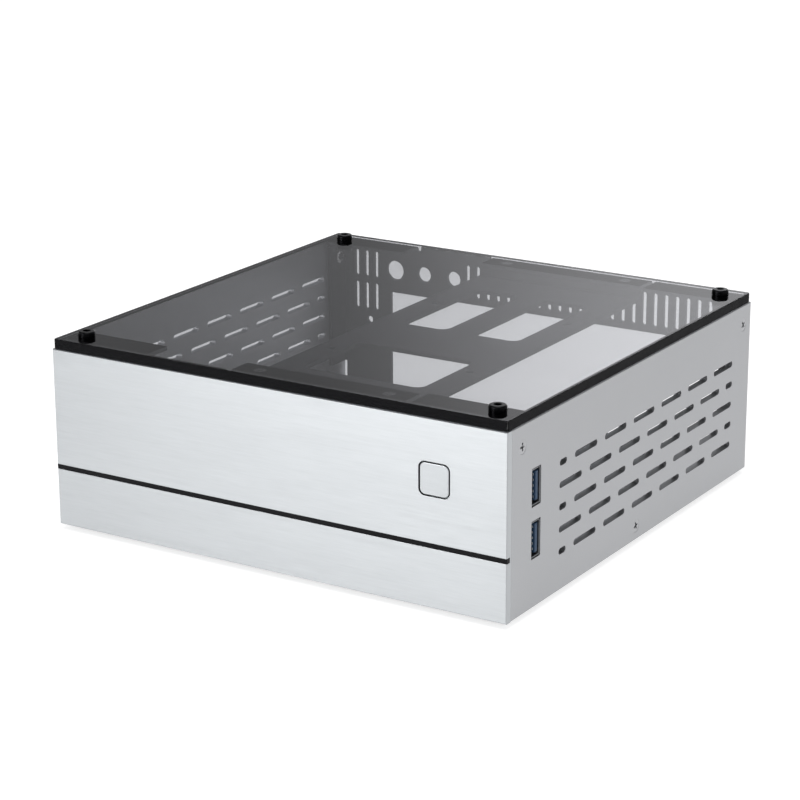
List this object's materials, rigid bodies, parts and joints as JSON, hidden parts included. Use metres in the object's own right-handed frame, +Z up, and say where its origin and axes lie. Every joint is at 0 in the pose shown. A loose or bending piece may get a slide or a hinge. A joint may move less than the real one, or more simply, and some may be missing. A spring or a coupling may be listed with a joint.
{
  "type": "mini itx computer case",
  "caption": "Flat square computer case with a brushed front plate, slotted side plates, a smoked cover on screws, upright USB sockets and a square push button.",
  "frame": {"origin": "on the surface the feet stand on, under the middle of the case", "axes": "+X to the viewer's right when facing the front plate, +Y from the front plate to the rear, +Z up"},
  "size_m": [0.2, 0.2, 0.0793],
  "materials": {
    "dark_sheet": "satin powder coat",
    "brushed_plate": "brushed across",
    "satin_plate": "bead blasted, anodised",
    "black_inlay": "gloss",
    "smoked_cover": "smoked, clear",
    "button_metal": "brushed across",
    "switch_plastic": "matt",
    "circuit_board": "solder resist",
    "brass_posts": "turned",
    "screw_steel": "bright zinc",
    "black_screw": "gloss black",
    "socket_shell": "plated",
    "socket_tongue": "moulded",
    "contact_metal": "plated",
    "foot_rubber": "matt"
  },
  "bodies": {
    "case": {"base_tray": "dark_sheet", "rear_panel": "dark_sheet", "front_panel": "brushed_plate", "front_inlay": "black_inlay", "left_side_panel": "satin_plate", "right_side_panel": "satin_plate", "top_cover": "smoked_cover", "drive_bracket": "dark_sheet", "switch_body": "switch_plastic", "switch_board": "circuit_board", "switch_board_posts": "brass_posts", "switch_board_screws": "screw_steel", "usb_board": "circuit_board", "usb_board_posts": "brass_posts", "usb_board_screws": "screw_steel", "usb_upper_shell": "socket_shell", "usb_upper_tongue": "socket_tongue", "usb_upper_contacts": "contact_metal", "usb_lower_shell": "socket_shell", "usb_lower_tongue": "socket_tongue", "usb_lower_contacts": "contact_metal", "board_seats": "brass_posts", "left_side_screws": "screw_steel", "right_side_screws": "screw_steel", "left_side_nuts": "screw_steel", "right_side_nuts": "screw_steel", "cover_nuts": "screw_steel", "front_panel_screws": "screw_steel", "drive_bracket_screws": "screw_steel", "rear_panel_screws": "screw_steel", "cover_screw_front_left": "black_screw", "cover_screw_front_right": "black_screw", "cover_screw_rear_left": "black_screw", "cover_screw_rear_right": "black_screw", "foot_front_left": "foot_rubber", "foot_front_right": "foot_rubber", "foot_rear_left": "foot_rubber", "foot_rear_right": "foot_rubber"},
    "button": {"power_button": "button_metal", "switch_plunger": "switch_plastic"}
  },
  "joints": [
    {"name": "power_button_press", "type": "slide", "parent": "case", "child": "button", "axis": [0, 1, 0], "range_m": [0, 0.0012], "stiffness_N_per_m": 600}
  ]
}
